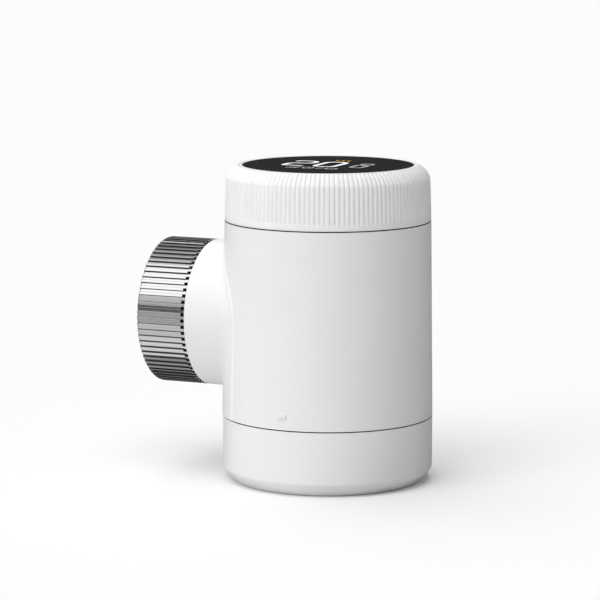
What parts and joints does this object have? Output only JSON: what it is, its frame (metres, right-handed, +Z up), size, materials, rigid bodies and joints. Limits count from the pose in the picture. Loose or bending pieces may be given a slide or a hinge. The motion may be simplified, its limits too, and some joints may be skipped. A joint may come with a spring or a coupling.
{
  "type": "smart radiator thermostat",
  "caption": "Battery radiator thermostat: white drum with a turning grooved dial, press-in round display, twist-off foot and a ribbed metal nut on a short side neck.",
  "frame": {"origin": "centre of the foot's flat underside, on the drum's axis", "axes": "+Z up along the drum's axis to the display; -X out along the neck to the radiator valve; -Y the front of the drum, with the foot of the display's figures"},
  "size_m": [0.0711, 0.0531, 0.0796],
  "materials": {
    "white_shell": "fine satin moulded",
    "dial_white": "satin moulded, finely grooved",
    "window_black": "polished",
    "nickel": "bright nickel plate",
    "adapter_metal": "as die cast",
    "inner_plastic": "moulded, unpainted",
    "gear_plastic": "natural acetal",
    "board": "solder mask",
    "display_panel": "smooth",
    "steel": "turned",
    "spring_steel": "rolled strip",
    "cell_wrap": "shrink sleeve",
    "brass": "turned",
    "switch_plastic": "moulded"
  },
  "bodies": {
    "housing": {"outer_sleeve": "white_shell", "neck_saddle": "white_shell", "chassis": "inner_plastic", "top_deck": "inner_plastic", "main_board": "board", "radio_module": "steel", "pin_header": "switch_plastic", "display_board": "board", "display_module": "display_panel", "tact_switch": "switch_plastic", "battery_left": "cell_wrap", "battery_right": "cell_wrap", "battery_contacts": "spring_steel", "motor_can": "steel", "gearbox_frame": "inner_plastic", "gearbox_cover": "inner_plastic", "idler_axle": "steel", "thrust_washer": "steel", "valve_adapter": "adapter_metal", "nut_retaining_ring": "spring_steel", "detent_spring": "spring_steel", "return_springs": "spring_steel", "deck_screws": "steel", "gearbox_screws": "steel"},
    "dial": {"dial_ring": "dial_white", "encoder_ring": "inner_plastic"},
    "window": {"display_window": "window_black", "window_carrier": "inner_plastic", "switch_button": "switch_plastic"},
    "base": {"base_cap": "white_shell", "bridge_contact": "spring_steel"},
    "nut": {"coupling_nut": "nickel"},
    "spindle": {"spindle_gear": "gear_plastic"},
    "plunger": {"plunger": "gear_plastic"},
    "idler": {"idler_gear": "gear_plastic"},
    "motor_shaft": {"motor_pinion": "brass"}
  },
  "joints": [
    {"name": "dial_turn", "type": "hinge", "parent": "housing", "child": "dial", "pos_m": [0, 0, 0.07], "axis": [0, 0, 1], "continuous": true},
    {"name": "window_press", "type": "slide", "parent": "housing", "child": "window", "axis": [0, 0, -1], "range_m": [0, 0.0004], "stiffness_N_per_m": 2000, "springref_m": -0.0005, "deforming": ["return_springs"]},
    {"name": "base_twist", "type": "hinge", "parent": "housing", "child": "base", "pos_m": [0, 0, 0.0116], "axis": [0, 0, 1], "range_deg": [0, 20]},
    {"name": "nut_turn", "type": "hinge", "parent": "housing", "child": "nut", "pos_m": [-0.038, 0, 0.04054], "axis": [-1, 0, 0], "continuous": true},
    {"name": "spindle_turn", "type": "hinge", "parent": "housing", "child": "spindle", "pos_m": [-0.0189, 0, 0.04054], "axis": [-1, 0, 0], "range_deg": [0, 540]},
    {"name": "plunger_slide", "type": "slide", "parent": "housing", "child": "plunger", "axis": [-1, 0, 0], "range_m": [0, 0.0045]},
    {"name": "idler_turn", "type": "hinge", "parent": "housing", "child": "idler", "pos_m": [-0.0155, -0.007, 0.02842], "axis": [-1, 0, 0], "range_deg": [-1980, 0]},
    {"name": "motor_turn", "type": "hinge", "parent": "housing", "child": "motor_shaft", "pos_m": [-0.0155, 0.00495, 0.02946], "axis": [-1, 0, 0], "range_deg": [0, 5940]}
  ],
  "couplings": [
    {"joint": "plunger_slide", "follows": "spindle_turn", "m_per_rad": 0.00047746},
    {"joint": "idler_turn", "follows": "spindle_turn", "ratio": -3.6667},
    {"joint": "motor_turn", "follows": "spindle_turn", "ratio": 11}
  ]
}
